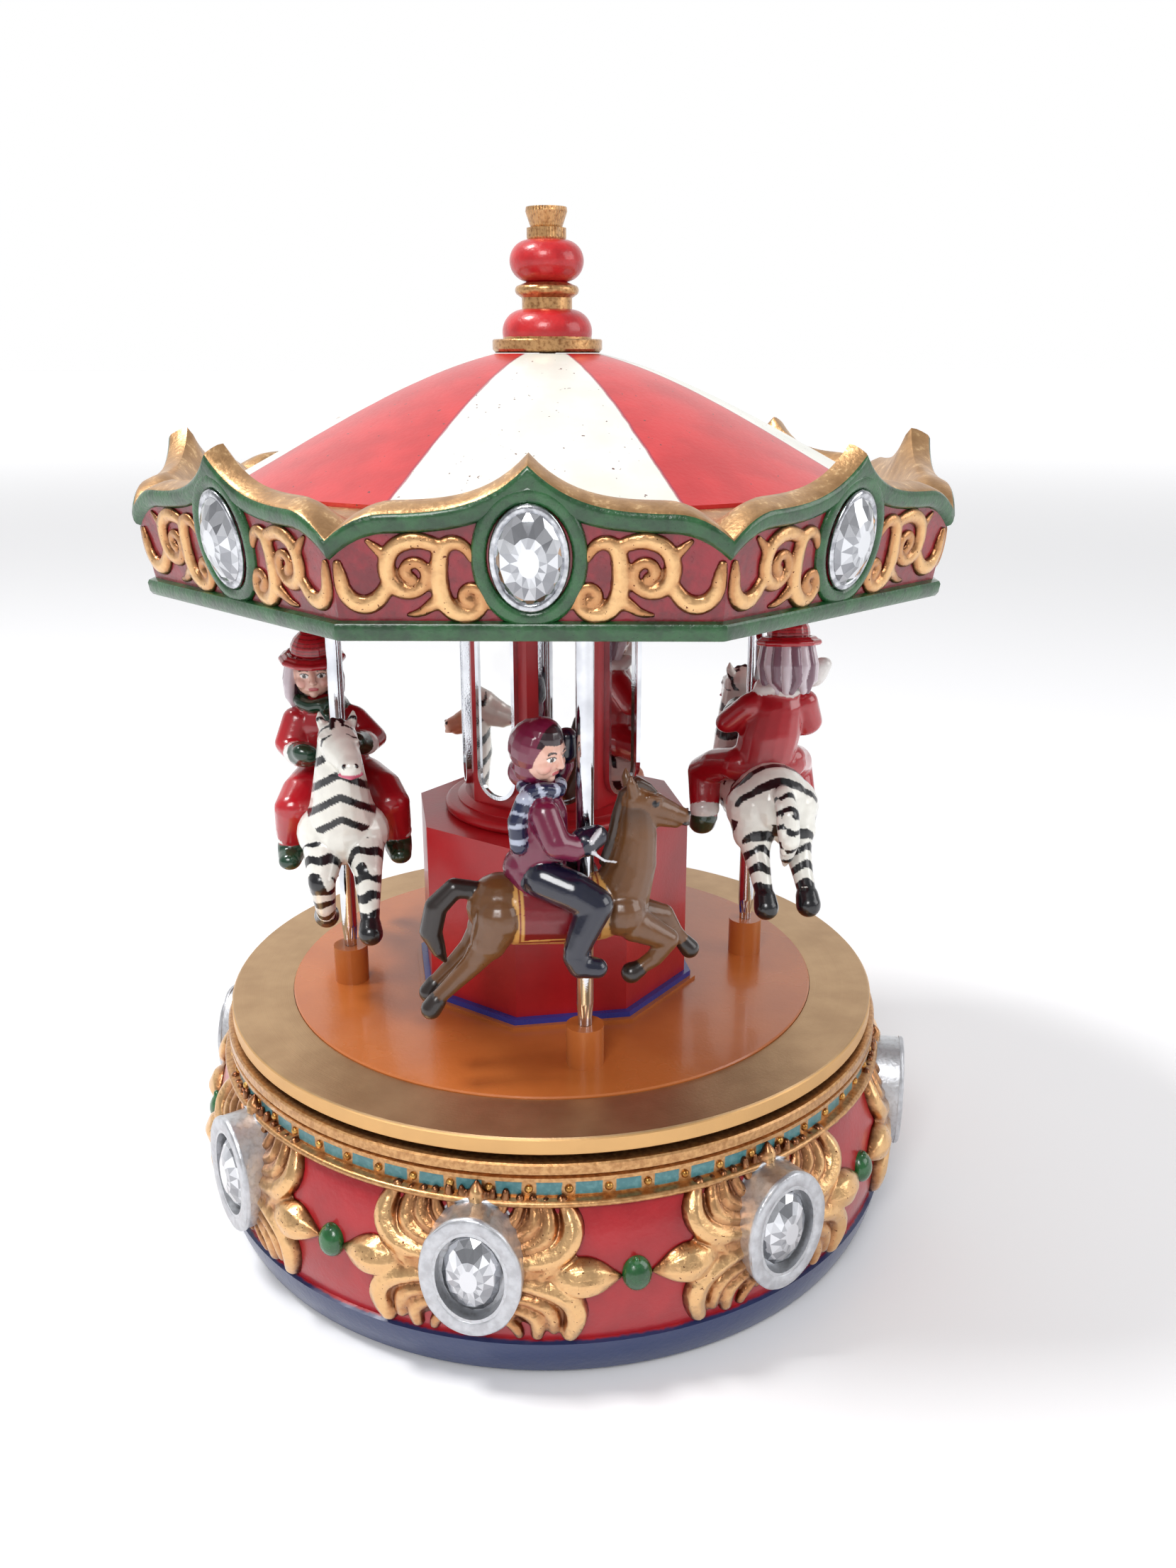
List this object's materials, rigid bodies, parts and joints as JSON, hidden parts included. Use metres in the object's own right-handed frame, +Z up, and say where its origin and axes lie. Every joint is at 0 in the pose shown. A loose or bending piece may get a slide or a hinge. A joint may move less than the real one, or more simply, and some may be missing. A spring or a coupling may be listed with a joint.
{
  "type": "wind up music box",
  "caption": "Carousel music box on a round base with oval stones, a turning deck with animals and riders on poles, an octagonal canopy with a finial, and a winding key below.",
  "frame": {"origin": "middle of the base at the surface it stands on", "axes": "+Z up to the finial; the four poles stand on the X and Y axes, and the front horse, at -Y, heads +X"},
  "size_m": [0.1448, 0.1448, 0.1913],
  "materials": {
    "painted_casting": "painted cast resin, red body, navy foot, gold, silver and blue-green details, semi-gloss",
    "canopy_paint": "painted cast resin, red and off-white stripes, green and burgundy crown with gold relief, gloss",
    "ceiling_plastic": "off-white moulded plastic, satin",
    "finial_paint": "red enamel with gold rings, gloss",
    "stone": "clear faceted stone with a foil back",
    "foot_rubber": "matt",
    "cover_plastic": "moulded, satin",
    "steel_screws": "zinc plated",
    "brass": "turned and cut",
    "zinc_casting": "die-cast, matt",
    "spring_steel": "ground",
    "steel": "turned, plated",
    "gold_disc": "satin gold with a bright turned edge",
    "deck_plastic": "orange-brown moulded plastic, glossy",
    "blue_plastic": "moulded, semi-gloss",
    "red_plastic": "moulded, satin",
    "mirror_foil": "mirror",
    "chrome_trim": "bright",
    "brown_horse_paint": "painted, satin coat, glossy mane",
    "tan_horse_paint": "painted, satin",
    "zebra_paint": "pearl white with black stripes",
    "rider_paint": "painted coat, trousers, scarf and hat, gloss"
  },
  "bodies": {
    "root": {"base_casting": "painted_casting", "base_gems": "stone", "rubber_feet": "foot_rubber", "bottom_cover": "cover_plastic", "bottom_cover_screws": "steel_screws", "spindle_bush": "brass", "movement_bedplate": "zinc_casting", "movement_screws": "steel_screws", "click_spring": "spring_steel", "click_screw": "steel_screws", "music_comb": "spring_steel", "comb_screws": "steel_screws", "governor_bracket": "zinc_casting", "governor_screw": "steel_screws"},
    "turntable": {"spring_barrel": "steel", "crown_wheel": "brass", "drive_spindle": "steel", "mainspring": "spring_steel", "turntable_disc": "gold_disc", "deck_disc": "deck_plastic", "plinth_skirt": "blue_plastic", "column_plinth": "red_plastic", "column_moulding": "red_plastic", "column_core": "red_plastic", "column_mirrors": "mirror_foil", "mirror_frames": "chrome_trim", "tie_rod": "steel", "canopy_crown": "canopy_paint", "crown_gems": "stone", "canopy_ceiling": "ceiling_plastic", "canopy_dome": "canopy_paint", "finial": "finial_paint", "brown_horse": "brown_horse_paint", "right_zebra": "zebra_paint", "tan_horse": "tan_horse_paint", "left_zebra": "zebra_paint", "rider_front": "rider_paint", "rider_right": "rider_paint", "rider_back": "rider_paint", "rider_left": "rider_paint", "pole_front": "chrome_trim", "pole_right": "chrome_trim", "pole_back": "chrome_trim", "pole_left": "chrome_trim"},
    "cylinder": {"pinned_cylinder": "brass", "cylinder_arbor": "steel", "cylinder_pinion": "brass", "cylinder_wheel": "brass"},
    "governor": {"governor_pinion": "brass", "governor_arbor": "steel", "worm_wheel": "brass"},
    "fly": {"governor_worm": "steel", "governor_fly": "brass"},
    "key": {"winding_arbor": "steel", "ratchet_wheel": "spring_steel", "winding_key": "steel"}
  },
  "joints": [
    {"name": "turntable_spin", "type": "hinge", "parent": "root", "child": "turntable", "pos_m": [0, 0, 0.041], "axis": [0, 0, 1], "continuous": true},
    {"name": "cylinder_spin", "type": "hinge", "parent": "root", "child": "cylinder", "pos_m": [0.029, 0, 0.03114], "axis": [1, 0, 0], "continuous": true},
    {"name": "governor_spin", "type": "hinge", "parent": "root", "child": "governor", "pos_m": [0.044, -0.00827, 0.02894], "axis": [1, 0, 0], "continuous": true},
    {"name": "fly_spin", "type": "hinge", "parent": "root", "child": "fly", "pos_m": [0.0472, -0.01487, 0.02894], "axis": [0, 0, 1], "continuous": true},
    {"name": "key_wind", "type": "hinge", "parent": "root", "child": "key", "pos_m": [0, 0, 0.01], "axis": [0, 0, 1], "range_deg": [0, 1260]}
  ],
  "couplings": [
    {"joint": "cylinder_spin", "follows": "turntable_spin", "ratio": 2.6667},
    {"joint": "governor_spin", "follows": "turntable_spin", "ratio": -6.4},
    {"joint": "fly_spin", "follows": "turntable_spin", "ratio": -128}
  ]
}
